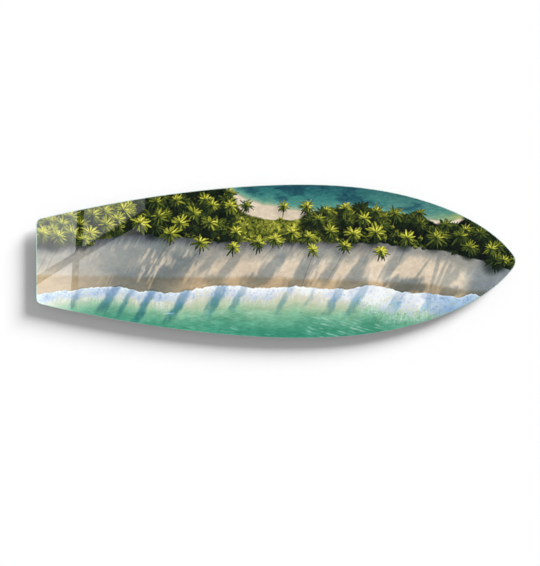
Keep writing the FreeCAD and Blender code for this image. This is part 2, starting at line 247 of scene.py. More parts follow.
def whorl(rng, dx, dv, radius, count, broad=0.105, droop=0.0):
    """A ring of feathered fronds: how much of each cell it covers, and the light that falls there."""
    dv = dv + droop * (dx**2 + dv**2) / radius
    turn = rng.uniform(0, 2 * math.pi)
    lengths = radius * rng.uniform(0.72, 1.14, count)
    offsets = rng.normal(0, 0.10, count)
    bends = rng.normal(0, 0.16, count)
    flicker = rng.normal(0, 0.11, count)
    heading = turn + 2 * math.pi * np.arange(count) / count

    gap = np.hypot(dx, dv)
    place = (np.arctan2(dv, dx) - turn) * count / (2 * math.pi)
    which = np.round(place).astype(int) % count
    along = np.minimum(gap / lengths[which], 1.2)
    off = (place - np.round(place)) * 2 * math.pi / count - offsets[which] - bends[which] * along**2
    side = gap * np.sin(off)
    barb = along * lengths[which] / BARB_SPACING - 0.8 * np.abs(side) / (broad * radius)
    teeth = 0.5 + 0.5 * np.cos(2 * math.pi * barb)
    half = broad * radius * np.sin(math.pi * np.clip(0.10 + 0.84 * along, 0, 1)) ** 0.8 * (0.72 + 0.5 * teeth)
    cover = np.clip((half - np.abs(side)) / CELL + 0.5, 0, 1) * (along < 1)

    facing = 0.5 + 0.5 * np.cos(heading - LIGHT_ANGLE)
    lit_side = np.sign(side) * np.sin(LIGHT_ANGLE - heading)[which]
    tone = (0.28 + 0.52 * facing + flicker)[which] * (0.45 + 0.65 * smooth(0.05, 0.55, along))
    rib = smooth(0.9, 0.3, np.abs(side)) * facing[which]
    return cover, tone + 0.10 * lit_side + 0.13 * (teeth - 0.5) + 0.16 * rib


def draw_crown(canvas, rng, x, v, radius, light, bed):
    """One palm seen from above: a shaded bed and two rings of fronds, lit from LIGHT_ANGLE."""
    reach = 1.8 * radius
    patch = canvas.window(x - reach, x + reach, v - reach, v + reach)
    if patch is None:
        return
    dx, dv = canvas.x[patch] - x, canvas.v[patch] - v
    colour = canvas.colour[patch]
    below = np.hypot(dx + 0.30 * radius, dv + 0.45 * radius)
    colour = mixed(colour, rgb(10, 20, 16), bed * smooth(1.15 * radius, 0.3 * radius, below))
    squat = dv * rng.uniform(1.0, 1.15)
    more, narrower, longer = (8, 0.58, 1.15) if x < FINE_END else (0, 1.0, 1.0)
    outer, inner = int(rng.integers(13, 17)), int(rng.integers(8, 11))
    for share, count, gain in ((1.0, outer, 0.74), (0.72, inner, 1.08)):
        broad = narrower * rng.uniform(0.09, 0.125)
        cover, tone = whorl(rng, dx, squat, share * radius * longer, count + more, broad, 0.12)
        colour = mixed(colour, ramp(np.clip(light * gain * tone, 0, 1), FROND_TONES), cover)
    canvas.colour[patch] = colour


def stroke(canvas, start, end, half):
    """A straight stroke as the patch it lies in and how much of each cell there it covers."""
    low, high = np.minimum(start, end) - 2 * half, np.maximum(start, end) + 2 * half
    patch = canvas.window(low[0], high[0], low[1], high[1])
    if patch is None:
        return None, None
    run = np.subtract(end, start)
    dx, dv = canvas.x[patch] - start[0], canvas.v[patch] - start[1]
    t = np.clip((dx * run[0] + dv * run[1]) / (run**2).sum(), 0, 1)
    gap = np.hypot(dx - t * run[0], dv - t * run[1])
    return patch, np.clip((half - gap) / CELL + 0.5, 0, 1)


def all_palms(rng, green, bush):
    """Every palm as (x, v, radius, light, bed), far ones first: the placed ones and the wood behind them."""
    palms = []
    for x, v, radius in PLACED_PALMS:
        column = min(int(x / CELL), len(green) - 1)
        wooded = v - green[column]
        light = rng.uniform(0.93, 1.29) - 0.24 * (wooded > 40)
        light += 0.06 * (x < 0.2 * L_MM) - 0.22 * (x > 0.8 * L_MM)
        open_ground = v > bush[column] - 12
        bed = 0.12 if open_ground else 0.12 + 0.55 * float(smooth(2, 20, wooded))
        palms.append((x, v, (1.12 if wooded < 16 else 0.98) * radius, light, bed))
    for rise in WOOD_ROWS:
        x = rng.uniform(0, 26)
        while x < L_MM - 20:
            column = int(x / CELL)
            v = green[column] + rise + rng.normal(0, 6)
            wooded = x < 0.40 * L_MM or x > 0.83 * L_MM or (x > 0.56 * L_MM and rise > 45)
            if wooded and v < min(bush[column] + 6, W_MM / 2):
                lit = rng.uniform(0.2, 0.72) + (0.4 if x < 0.2 * L_MM else -0.1 if x > 0.86 * L_MM else 0)
                palms.append((x + rng.normal(0, 6), v, rng.uniform(15, 28), lit, WOOD_BED))
            x += rng.uniform(28, 52)
    return sorted(palms, key=lambda palm: -palm[1] - (WOOD_LEAD if palm[4] == WOOD_BED else 0))


# ---- the layers of the picture ------------------------------------------------------------------
def paint_sand(c, wet):
    grain = c.noise.layered(c.x / 7, c.v / 5, 4)
    drift = c.noise.layered(c.x / 80, c.v / 36, 3)
    stops = [(0.25, (208, 191, 170)), (0.5, (225, 208, 186)), (0.75, (242, 225, 202))]
    dry = ramp(grain * 0.4 + drift * 0.6, stops)
    damp = ramp(grain * 0.4 + drift * 0.6, [(0.3, (190, 166, 134)), (0.7, (216, 190, 154))])
    edge = wet + 9 * (c.noise.layered(c.x / 60, c.v * 0 + 3, 3) - 0.5)
    c.colour = mixed(dry, damp, smooth(6, -6, c.v - edge))


def paint_lagoon(c, shore):
    depth = c.v - shore + 10 * (c.noise.layered(c.x / 34, c.v / 20, 3) - 0.5)
    blotch = smooth(0.49, 0.66, c.noise.layered(c.x / 62 + 5.2, c.v / 26 + 1.5, 4))
    ripple = c.noise.layered(c.x / 7 - c.v / 11, c.v / 3.2 + c.x / 40, 3) - 0.5
    stops = [(0, (184, 186, 156)), (5, (140, 172, 148)), (12, (92, 154, 140)), (26, (64, 134, 128)),
             (46, (42, 106, 110)), (80, (30, 84, 96))]
    water = ramp(depth, stops)
    water = mixed(water, rgb(22, 68, 86), 0.70 * blotch * smooth(10, 26, depth))
    far = smooth(0.60 * L_MM, 0.80 * L_MM, c.x)
    water = mixed(water, rgb(104, 148, 136), 0.45 * far * (1 - 0.7 * blotch))
    shallow = smooth(0.80 * L_MM, 0.90 * L_MM, c.x) * smooth(26, 4, depth)
    water = mixed(water, rgb(176, 184, 112), 0.8 * shallow)
    water = water + 0.10 * ripple[..., None]
    c.lay(water, smooth(-2.5, 2.5, depth))


def paint_sea(c, depth):
    """The water below the foam: sandy and thin at first, then green, with slanting wave lines."""
    wander = 16 * (c.noise.layered(c.x / 42, c.v / 36 + 4, 3) - 0.5)
    stops = [(0, (218, 212, 192)), (26, (214, 210, 188)), (42, (182, 200, 170)), (58, (140, 188, 156)),
             (78, (98, 166, 138)), (102, (66, 148, 122)), (130, (46, 132, 110))]
    steep = 1 + 0.45 * smooth(0.40 * L_MM, 0.12 * L_MM, c.x)
    water = ramp(depth * steep + wander, stops)
    cloud = c.noise.layered(c.x / 26, c.v / 12, 4) - 0.5
    ripple = c.noise.layered(c.x / 9 + c.v / 14, c.v / 2.3 - c.x / 60, 3) - 0.5
    water = water + (0.17 * cloud + 0.10 * ripple)[..., None] * smooth(18, 60, depth)[..., None]
    along, across = 0.957 * c.x - 0.29 * c.v, 0.29 * c.x + 0.957 * c.v
    waves = smooth(0.60, 0.78, c.noise.layered(along / 24, across / 2.4, 3))
    waves = waves * smooth(44, 72, depth) * smooth(0.40, 0.62, c.noise.layered(c.x / 60 + 9, c.v / 30, 2))
    water = mixed(water, rgb(206, 232, 220), 0.2 * waves + 0.28 * waves * smooth(0.3 * L_MM, 0.6 * L_MM, c.x))
    c.lay(water, smooth(-1.2, 1.2, depth))


def paint_foam(c, depth):
    """Foam: billows at the top edge that thin out downwards into threads. Gives the bursts of spray."""
    share_x = c.x / L_MM
    swell = smooth(0.60, 0.74, share_x) * smooth(1.02, 0.94, share_x)
    width = 15 + 15 * c.noise.layered(c.x / 48 + 3, c.v * 0 + 2, 3) + 24 * swell
    fibre = c.noise.layered((c.x - 0.2 * c.v) / 3.4, c.v / 13, 4)
    lace = c.noise.layered(c.x / 5 + 40, c.v / 4.5, 4)
    billow = c.noise.layered(c.x / 22 + 11, c.v / 14, 3)
    ragged = 1.1 * (fibre - 0.5) + 1.3 * (lace - 0.5) + 1.0 * (billow - 0.5)
    body = smooth(1.15, 0.5, depth / width + ragged)
    threads = 0.6 * smooth(0.42, 0.64, fibre * 0.75 + lace * 0.25) * smooth(2.0, 0.7, depth / width)
    spray = np.zeros(c.x.shape)
    for x, v, half, tall in BURSTS:
        gap = np.hypot((c.x - x + 0.2 * (c.v - v)) / half, (c.v - v) / tall)
        spray = np.maximum(spray, smooth(1.25, 0.35, gap + 1.1 * (lace - 0.5) + 0.8 * (fibre - 0.5)))
    share = np.maximum(np.maximum(body, smooth(9, 4, depth)), threads)
    share = np.maximum(share, 0.92 * spray) * smooth(-1.0, 0.8, depth)
    tone = 0.25 * fibre + 0.40 * lace + 0.35 * billow + 0.08 * smooth(14, 2, depth) + 0.14 * spray
    stops = [(0.30, (182, 198, 214)), (0.42, (206, 216, 232)), (0.52, (228, 233, 243)),
             (0.64, (246, 248, 251))]
    c.lay(ramp(tone, stops), 0.97 * share)
    return spray


def paint_surf_shade(c, depth, spray):
    """Shade on the foam and the water: slanted palm shadows, and the blue shade at both ends."""
    feather = c.noise.layered((c.x - SHADOW_LEAN * c.v) / 5, c.v / 15 + 20, 3) - 0.5
    shade = np.zeros(c.x.shape)
    for x, half, reach, strength in SURF_STREAKS:
        wobble = 7 * (c.noise.layered(c.v / 14 + x, c.x * 0, 2) - 0.5)
        centre = np.abs(c.x - x - 1.15 * SHADOW_LEAN * (c.v - STREAK_LEVEL) + wobble) / half
        broad = smooth(1.35, 0.55, centre + 1.2 * feather)
        streak = broad * smooth(-8, 3, depth) * smooth(1.25 * reach + 8, 0.7 * reach, depth + 26 * feather)
        shade = np.maximum(shade, streak * strength)
    shade = blurred(shade, 1.6)[..., None]
    wet = smooth(8, 34, depth)[..., None]
    c.colour = c.colour * (1 - shade * (np.array([0.34, 0.25, 0.17]) + wet * np.array([0.24, 0.08, 0.02])))
    mottle = 0.45 + 0.9 * c.noise.layered(c.x / 14, c.v / 12, 3)
    nose = smooth(0.79 * L_MM, 0.86 * L_MM, c.x) * smooth(78, 40, depth) * (1 - 0.75 * spray)
    tail = smooth(0.36 * L_MM, 0.24 * L_MM, c.x) * smooth(26, 14, depth)
    blue = np.clip(np.maximum(nose, 0.45 * tail) * mottle, 0, 1) * smooth(-2, 3, depth)
    c.colour = c.colour * (1 - blurred(blue, 1.2)[..., None] * np.array([0.31, 0.20, 0.10]))


def cast_band(c, feather, start, end, half_top, half_low):
    """A feathered slanting shadow, from a palm's foot down to where its crown's shadow falls."""
    run_x, run_v = end[0] - start[0], end[1] - start[1]
    t = (c.v - start[1]) / run_v
    inside = np.clip(t, 0, 1)
    half = half_top + (half_low - half_top) * inside**1.5
    off = np.abs(c.x - start[0] - run_x * t) / half
    rounding = 0.2 * off * (off < 1) if half_low > 10 else 0.0
    ends = smooth(-0.45, 0.15, t) * smooth(1.22, 0.86, t + rounding)
    return smooth(1.35, 0.6, off + feather * min(1.0, 24 / half_low)) * ends


def paint_ground_shade(c, green, foam):
    """Blue-grey shade on the sand: soft below the palms, in slanting bands, and nearly whole at the tail."""
    slant = c.x - SHADOW_LEAN * c.v
    coarse = c.noise.layered(slant / 20, c.v / 60, 3)
    fine = c.noise.layered(slant / 4.5 + 30, c.v / 22, 4)
    feather = 1.5 * (c.noise.layered(slant / 7, c.v / 34 + 60, 4) - 0.5)
    gap = green - c.v
    amount = line(SHADE_SHARE, c.along, 24.0)
    reach = 6 + 60 * amount * coarse + 22 * (fine - 0.5)
    near = 0.72 * smooth(1.0, 0.0, (gap - reach) / (16 + 34 * amount))
    cluster = smooth(0.42, 0.62, c.noise.layered(slant / 34 + 3, c.v / 40 + 5, 2))
    fleck = cluster * smooth(0.50, 0.64, fine) * smooth(14, 34, gap)
    tail = smooth(0.37 * L_MM, 0.28 * L_MM, c.x - 0.9 * (c.v + 30))
    tail = tail * (1 - (0.4 + 0.4 * smooth(120, 300, c.x)) * fleck)
    tail = 1.08 * tail * (1 - smooth(230, 40, c.x) * (0.55 + 0.35 * smooth(-10, -40, c.v)))
    nose = smooth(0.895 * L_MM, 0.93 * L_MM, c.x - 0.3 * c.v) * (1 - 0.3 * fleck)
    field = np.maximum(np.maximum(near * (1 - 0.35 * fleck), tail), 0.9 * nose)
    for start, end, half_top, half_low, depth in CAST_BANDS:
        band = depth * cast_band(c, feather, start, end, half_top, half_low)
        field = np.maximum(field, band) + 0.15 * np.minimum(field, band)
    for x, v, wide, tall, depth in CAST_CROWNS:
        gap_to = np.hypot((c.x - x - SHADOW_LEAN * (c.v - v)) / wide, (c.v - v) / tall)
        field = np.maximum(field, depth * smooth(1.45, 0.65, gap_to + 0.8 * feather))
    lump = c.noise.layered(c.x / 46 + 8, c.v / 30, 3)
    field = blurred(field * (0.72 + 0.56 * lump), 1.3)
    field = np.clip(field, 0, 1.15) * smooth(-12, 0, gap) * smooth(-2, 1, c.v - foam)
    c.colour = c.colour * (1 - field[..., None] * np.array([0.38, 0.31, 0.24]))
    dusk = smooth(24, 0, gap + 14 * (fine - 0.5)) * smooth(-12, 2, gap) * smooth(1.0 * L_MM, 0.5 * L_MM, c.x)
    c.colour = c.colour * (1 - 0.42 * dusk[..., None] * np.array([1.0, 1.0, 0.85]))
    wash = smooth(0.88 * L_MM, 0.96 * L_MM, c.x - 0.3 * c.v)
    c.colour = c.colour * (1 - wash[..., None] * np.array([0.10, 0.06, 0.0]))


def paint_trunks(c, rng, palms, green):
    """Thin trunk shadows on the sand, from under the lowest crowns."""
    for x, v, radius, _, _ in palms:
        column = min(max(int(x / CELL), 0), len(c.along) - 1)
        if v > green[0, column] + 40 or rng.random() < 0.6:
            continue
        reach = rng.uniform(40, 90)
        lean = SHADOW_LEAN + rng.normal(0, 0.10)
        patch, cover = stroke(c, (x, v - 0.6 * radius), (x - lean * reach, v - reach), 1.1)
        if patch is not None:
            c.colour[patch] = c.colour[patch] * (1 - 0.11 * cover[..., None])


BUSHES = 420


def paint_undergrowth(c, rng, green, bush):
    """Low bushes between the palms: a dark bed, and small rings of leaves over it."""
    edge = 13 * (c.noise.layered(c.x / 20, c.v / 20 + 8, 3) - 0.5)
    inside = smooth(-3, 3, c.v - green - edge) * smooth(3, -3, c.v - bush - edge)
    tone = 0.55 * c.noise.layered(c.x / 15, c.v / 12, 4) + 0.45 * c.noise.layered(c.x / 3.2, c.v / 2.7, 3)
    shaded = [(0.3, (0, 12, 8)), (0.5, (8, 26, 14)), (0.62, (34, 48, 22)), (0.76, (84, 92, 34))]
    sunlit = [(0.28, (44, 56, 20)), (0.42, (88, 96, 32)), (0.54, (126, 130, 46)), (0.70, (166, 168, 68))]
    open_bush = smooth(0.39 * L_MM, 0.44 * L_MM, c.x) * smooth(0.66 * L_MM, 0.58 * L_MM, c.x)
    tail = 0.75 * smooth(0.22 * L_MM, 0.12 * L_MM, c.x)
    c.lay(mixed(ramp(tone, shaded), ramp(tone, sunlit), np.maximum(open_bush, tail)), inside)
    for _ in range(BUSHES):
        x, rise = rng.uniform(0, L_MM), rng.uniform(-4, 150)
        column = int(x / CELL)
        v = green[0, column] + rise
        radius, light = rng.uniform(5, 9), rng.uniform(0.35, 0.9) + 0.25 * float(open_bush[0, column])
        if v > min(bush[0, column] + 2, W_MM / 2):
            continue
        patch = c.window(x - 1.2 * radius, x + 1.2 * radius, v - 1.2 * radius, v + 1.2 * radius)
        if patch is None:
            continue
        cover, shade = whorl(rng, c.x[patch] - x, c.v[patch] - v, radius, 7, 0.22)
        leaf = ramp(np.clip(light * shade, 0, 1), FROND_TONES)
        c.colour[patch] = mixed(c.colour[patch], leaf, cover * 0.85)


def paint_beach():
    """The whole picture, on a canvas."""
    c = Canvas()
    rng = np.random.default_rng(SEED)
    foam = line(FOAM_LINE, c.along, 14.0)[None, :]
    wet, green, shore, bush = [line(points, c.along)[None, :] for points in
                               (WET_LINE, GREEN_LINE, SHORE_LINE, BUSH_LINE)]
    palms = all_palms(rng, green[0], bush[0])
    swash = 9 * (c.noise.layered(c.x / 24, c.v * 0 + 7, 3) - 0.5)
    swash += 5 * np.abs(c.noise(c.x / 9, c.v * 0) - 0.5)
    depth = foam + swash - c.v
    paint_sand(c, wet)
    paint_lagoon(c, shore)
    paint_ground_shade(c, green, foam - 6)
    paint_sea(c, depth)
    spray = paint_foam(c, depth)
    paint_surf_shade(c, depth, spray)
    paint_trunks(c, rng, palms, green)
    paint_undergrowth(c, rng, green, bush)
    for x, v, radius, light, bed in palms:
        patch, cover = stroke(c, (x, v), (x - 0.12 * radius, v - TRUNK_LENGTH), TRUNK_HALF)
        if patch is not None and v > green[0].max() + 30:
            c.colour[patch] = mixed(c.colour[patch], rgb(84, 78, 58), 0.7 * cover)
        draw_crown(c, rng, x, v, radius, light, bed)
    c.colour = np.clip(c.colour + CRISP * (c.colour - blurred(c.colour, CRISP_REACH)), 0, 1)
    return c


def sampled(canvas, along, across):
    """Colours of the canvas at the given places, between its cells."""
    x = np.clip((along - canvas.along[0]) / CELL, 0, len(canvas.along) - 1.001)
    v = np.clip((across - canvas.across[0]) / CELL, 0, len(canvas.across) - 1.001)
    x0, v0 = x.astype(int), v.astype(int)
    fx, fv = (x - x0)[:, None], (v - v0)[:, None]
    pic = canvas.colour
    low = pic[v0, x0] * (1 - fx) + pic[v0, x0 + 1] * fx
    high = pic[v0 + 1, x0] * (1 - fx) + pic[v0 + 1, x0 + 1] * fx
    return low * (1 - fv) + high * fv


# ---- meshes -------------------------------------------------------------------------------------
PRINT_ROWS = 236
PRINT_COLUMNS = 740
PRINT_BEHIND = 0.03 * MM  # behind the glass's back face, so the two never coincide
END_SHARE = 0.12  # how far the columns draw together at both ends
NOSE_POWER = 1.12  # and how much more at the nose


def mesh_object(name, points, faces):
    mesh = bpy.data.meshes.new(name)
    mesh.from_pydata([tuple(p) for p in points], [], [tuple(f) for f in faces])
    mesh.update()
    piece = bpy.data.objects.new(name, mesh)
    bpy.context.scene.collection.objects.link(piece)
    return piece


def outline_of(node):
    """The upper and lower edge of a flat node, each as x and z in rising x."""
    points = np.array([tuple(v.co) for v in node.data.vertices])
    front = points[points[:, 1] < points[:, 1].min() + 0.02 * MM]
    edges = []
    for side in (1, -1):
        half = front[side * (front[:, 2] - AXIS_Z) >= 0]
        half = half[np.argsort(half[:, 0], kind="stable")]
        edges.append((half[:, 0], half[:, 2]))
    return edges


def print_columns(x0, x1):
    """Column places from tail to nose, closer together at both rounded ends."""
    t = np.linspace(0, 1, PRINT_COLUMNS + 1)
    bow = 0.5 - 0.5 * np.cos(math.pi * t)
    eased = (1 - END_SHARE) * t + END_SHARE * bow
    return x0 + (x1 - x0) * (1 - (1 - eased) ** NOSE_POWER)


def print_points():
    """The print's front, column by column from its lower to its upper edge, then its back's two edges."""
    (top_x, top_z), (low_x, low_z) = outline_of(NODES["image_ink"])
    near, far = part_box("image_ink")
    x = print_columns(near[0], far[0])
    high, low = np.interp(x, top_x, top_z), np.interp(x, low_x, low_z)
    share = np.linspace(0, 1, PRINT_ROWS + 1)
    grid_x = np.repeat(x[:, None], PRINT_ROWS + 1, 1)
    grid_z = low[:, None] + (high - low)[:, None] * share
    front = np.stack([grid_x, np.full_like(grid_x, near[1] + PRINT_BEHIND), grid_z], -1)
    back = [np.stack([x, np.full_like(x, far[1]), z], -1) for z in (low, high)]
    return np.concatenate([front.reshape(-1, 3)] + back)


def print_faces():
    """The front's grid, and round it the rim and the back, which has no points inside its outline."""
    rows = PRINT_ROWS + 1
    corner = (np.arange(PRINT_COLUMNS)[:, None] * rows + np.arange(PRINT_ROWS)).reshape(-1)
    faces = np.stack([corner, corner + rows, corner + rows + 1, corner + 1], -1).tolist()
    b_low = rows * (PRINT_COLUMNS + 1)
    b_high = b_low + PRINT_COLUMNS + 1
    for i in range(PRINT_COLUMNS):
        a, b = i * rows, (i + 1) * rows
        faces.append([b_low + i, b_high + i, b_high + i + 1, b_low + i + 1])
        faces.append([a, b_low + i, b_low + i + 1, b])
        faces.append([a + PRINT_ROWS, b + PRINT_ROWS, b_high + i + 1, b_high + i])
    last = PRINT_COLUMNS * rows
    nose_down = list(range(last + PRINT_ROWS, last - 1, -1))
    faces.append([b_low] + list(range(rows)) + [b_high])
    faces.append([b_high + PRINT_COLUMNS] + nose_down + [b_low + PRINT_COLUMNS])
    return faces


def print_layer(canvas):
    """The colour ink: a fine sheet that fills the outline, the beach painted on its vertices."""
    points = print_points()
    piece = mesh_object("beach_print", points, print_faces())
    srgb = sampled(canvas, (points[:, 0] - LOW.x) / MM, (points[:, 2] - AXIS_Z) / MM)
    linear = np.where(srgb <= 0.04045, srgb / 12.92, ((srgb + 0.055) / 1.055) ** 2.4)
    rgba = np.concatenate([linear, np.ones((len(linear), 1))], 1)
    paint = piece.data.color_attributes.new("beach", "FLOAT_COLOR", "POINT")
    paint.data.foreach_set("color", rgba.reshape(-1).astype(np.float32))
    return piece


def glass_pane():
    """The pane's own mesh as a piece that throws no shadow, because light passes through it to the ink."""
    piece = NODES["glass_panel"].copy()
    piece.data = NODES["glass_panel"].data.copy()
    piece.name = "glass_pane"
    piece.visible_shadow = False
    bpy.context.scene.collection.objects.link(piece)
    return piece


# ---- materials ----------------------------------------------------------------------------------
class Graph:
    """A material's node tree, with short ways to add to it."""

    def __init__(self, name):
        self.material = bpy.data.materials.new(name)
        self.material.use_nodes = True
        self.tree = self.material.node_tree
        self.shader = self.tree.nodes["Principled BSDF"]
        self.output = self.tree.nodes["Material Output"]

    def node(self, kind, **inputs):
        made = self.tree.nodes.new("ShaderNode" + kind)
        for key, value in inputs.items():
            self.feed(made, key, value)
        return made

    def feed(self, node, key, value):
        """Sets or links one input. Keys spell the socket's name with underscores for spaces."""
        name = key.replace("_", " ")
        socket = node.inputs[int(key[1:])] if key[0] == "i" and key[1:].isdigit() else node.inputs[name]
        if isinstance(value, bpy.types.NodeSocket):
            self.tree.links.new(value, socket)
        else:
            socket.default_value = value

    def place(self, scale):
        """The object's own coordinates in metres, times a scale along each axis."""
        where = self.node("TexCoord").outputs["Object"]
        return self.node("Mapping", Vector=where, Scale=scale).outputs["Vector"]

    def noise(self, scale, detail=4.0, roughness=0.55, at=None):
        at = at or self.place((1, 1, 1))
        made = self.node("TexNoise", Vector=at, Scale=scale, Detail=detail, Roughness=roughness)
        return made.outputs["Fac"]

    def ramp(self, value, *stops):
        made = self.node("ValToRGB", Fac=value)
        elements = made.color_ramp.elements
        while len(elements) < len(stops):
            elements.new(0.5)
        for element, (place, colour) in zip(elements, stops):
            element.position = place
            element.color = (*colour, 1.0)
        return made.outputs["Color"]

    def spread(self, value, low, high):
        made = self.node("MapRange", Value=value, i3=low, i4=high)
        return made.outputs["Result"]

    def math(self, operation, a, b=0.0):
        made = self.node("Math", i0=a, i1=b)
        made.operation = operation
        return made.outputs["Value"]

    def mix(self, share, a, b, way="MIX"):
        made = self.tree.nodes.new("ShaderNodeMix")
        made.data_type = "RGBA"
        made.blend_type = way
        for socket, value in ((made.inputs[0], share), (made.inputs[6], a), (made.inputs[7], b)):
            if isinstance(value, bpy.types.NodeSocket):
                self.tree.links.new(value, socket)
            else:
                socket.default_value = (*value, 1.0) if isinstance(value, tuple) else value
        return made.outputs[2]

    def edges(self, radius):
        """How much a place lies on a sharp edge, from the bent normal there."""
        bent = self.node("Bevel", Radius=radius).outputs["Normal"]
        flat = self.node("NewGeometry").outputs["Normal"]
        dot = self.tree.nodes.new("ShaderNodeVectorMath")
        dot.operation = "DOT_PRODUCT"
        self.tree.links.new(bent, dot.inputs[0])
        self.tree.links.new(flat, dot.inputs[1])
        return self.node("MapRange", Value=dot.outputs["Value"], i1=0.999, i2=0.90).outputs["Result"]

    def bump(self, height, strength, depth):
        made = self.node("Bump", Height=height, Strength=strength, Distance=depth)
        self.feed(self.shader, "Normal", made.outputs["Normal"])

    def finish(self, **inputs):
        for key, value in inputs.items():
            self.feed(self.shader, key, value)
        return self.material


PRINT_GAIN = 0.965  # brings the ink to the picture's own brightness under this scene's light
GLASS_REFLECTS = 0.12  # the share that the glass reflects where it is seen square on


def print_ink():
    """Glossy ink: the painted beach, broken up by its own fine grain and press speckle."""
    g = Graph("printed_ink")
    paint = g.node("Attribute")
    paint.attribute_name = "beach"
    grain = g.ramp(g.noise(900, 3), (0.35, (0.93, 0.93, 0.93)), (0.65, (1.0, 1.0, 1.0)))
    dots = g.ramp(g.noise(2600, 1), (0.40, (0.97, 0.97, 0.97)), (0.60, (1.0, 1.0, 1.0)))
    colour = g.mix(1.0, paint.outputs["Color"], grain, "MULTIPLY")
    colour = g.mix(1.0, colour, dots, "MULTIPLY")
    colour = g.mix(1.0, colour, (PRINT_GAIN,) * 3, "MULTIPLY")
    return g.finish(Base_Color=colour, Roughness=g.spread(g.noise(300), 0.45, 0.6), Specular_IOR_Level=0.08)


def clear_glass():
    """Polished sheet: a reflection, stronger at a glancing angle, over a faint green clear body."""
    g = Graph("clear_glass")
    wave = g.noise(3.0, 2)
    ripple = g.node("Bump", Height=wave, Strength=0.02, Distance=0.0005).outputs["Normal"]
    facing = g.node("LayerWeight", Blend=0.5, Normal=ripple).outputs["Facing"]
    glancing = g.math("MULTIPLY", g.math("POWER", facing, 5.0), 1 - GLASS_REFLECTS)
    shine = g.math("ADD", glancing, GLASS_REFLECTS)
    through = g.node("BsdfTransparent", Color=(0.986, 0.993, 0.989, 1.0)).outputs["BSDF"]
    gloss = g.node("BsdfGlossy", Color=(1, 1, 1, 1), Roughness=0.012, Normal=ripple).outputs["BSDF"]
    both = g.node("MixShader", Fac=shine, i1=through, i2=gloss).outputs["Shader"]
    g.tree.links.new(both, g.output.inputs["Surface"])
    g.tree.nodes.remove(g.shader)
    return g.material


def inner_glass():
    """The pane's back face: it passes everything to the ink."""
    g = Graph("glass_back")
    tint = g.ramp(g.noise(4, 2), (0.3, (0.992, 0.998, 0.995)), (0.7, (0.998, 1.0, 0.999)))
    through = g.node("BsdfTransparent", Color=tint).outputs["BSDF"]
    g.tree.links.new(through, g.output.inputs["Surface"])
    g.tree.nodes.remove(g.shader)
    return g.material


def ground_glass():
    """The ground rim: pale green, satin, with fine grinding lines round the edge."""
    g = Graph("ground_glass")
    lines = g.noise(60, 5, at=g.place((1, 26, 1)))
    cloud = g.noise(45, 3)
    colour = g.ramp(g.math("ADD", g.math("MULTIPLY", lines, 0.5), g.math("MULTIPLY", cloud, 0.5)),
                    (0.35, (0.24, 0.42, 0.36)), (0.65, (0.42, 0.60, 0.53)))
    g.bump(lines, 0.25, 0.00008)
    return g.finish(Base_Color=colour, Roughness=g.spread(lines, 0.22, 0.42), IOR=1.52, Coat_Weight=0.4)


def white_ink():
    """White backing print: faint bands from the press, and specks."""
    g = Graph("white_ink")
    bands = g.noise(14, 2, at=g.place((0.4, 1, 6)))
    fleck = g.noise(700, 3)
    colour = g.ramp(g.math("ADD", g.math("MULTIPLY", bands, 0.5), g.math("MULTIPLY", fleck, 0.5)),
                    (0.35, (0.74, 0.75, 0.74)), (0.65, (0.82, 0.82, 0.80)))
    g.bump(fleck, 0.1, 0.00005)
    return g.finish(Base_Color=colour, Roughness=g.spread(fleck, 0.5, 0.7))


def splinter_film():
    """Grey splinter film: satin, a little orange-peeled, with faint creases."""
    g = Graph("splinter_film")
    peel = g.noise(240, 3)
    crease = g.noise(9, 5, at=g.place((1, 1, 3)))
    colour = g.ramp(crease, (0.38, (0.30, 0.31, 0.315)), (0.5, (0.37, 0.38, 0.385)),
                    (0.62, (0.335, 0.345, 0.35)))
    g.bump(g.math("ADD", peel, g.math("MULTIPLY", crease, 4.0)), 0.18, 0.0002)
    return g.finish(Base_Color=colour, Roughness=g.spread(peel, 0.22, 0.36), Coat_Weight=0.3)


def foam_tape():
    """Dark closed-cell foam: a pitted surface."""
    g = Graph("foam_tape")
    cells = g.node("TexVoronoi", Vector=g.place((1, 1, 1)), Scale=1500.0).outputs["Distance"]
    tone = g.ramp(g.noise(200, 4), (0.3, (0.055, 0.057, 0.06)), (0.7, (0.11, 0.112, 0.118)))
    g.bump(cells, 0.5, 0.0003)
    return g.finish(Base_Color=tone, Roughness=g.spread(cells, 0.7, 0.95))


EDGE_WEAR = 0.6 * MM  # how far from its edges metal is rubbed bright


def metal(name, dark, light, stretch, rough, line_scale=60.0):
    """Drawn or plated metal: lines along one axis, cloudy tone, and edges rubbed bright."""
    g = Graph(name)
    lines = g.noise(line_scale, 6, 0.6, at=g.place(stretch))
    cloud = g.noise(38, 4)
    tone = g.math("ADD", g.math("MULTIPLY", lines, 0.45), g.math("MULTIPLY", cloud, 0.55))
    colour = g.ramp(tone, (0.32, dark), (0.68, light))
    worn = g.math("MULTIPLY", g.edges(EDGE_WEAR), 0.35)
    colour = g.mix(worn, colour, (0.9, 0.9, 0.9))
    g.bump(lines, 0.12, 0.00006)
    return g.finish(Base_Color=colour, Metallic=1.0, Roughness=g.spread(tone, *rough))


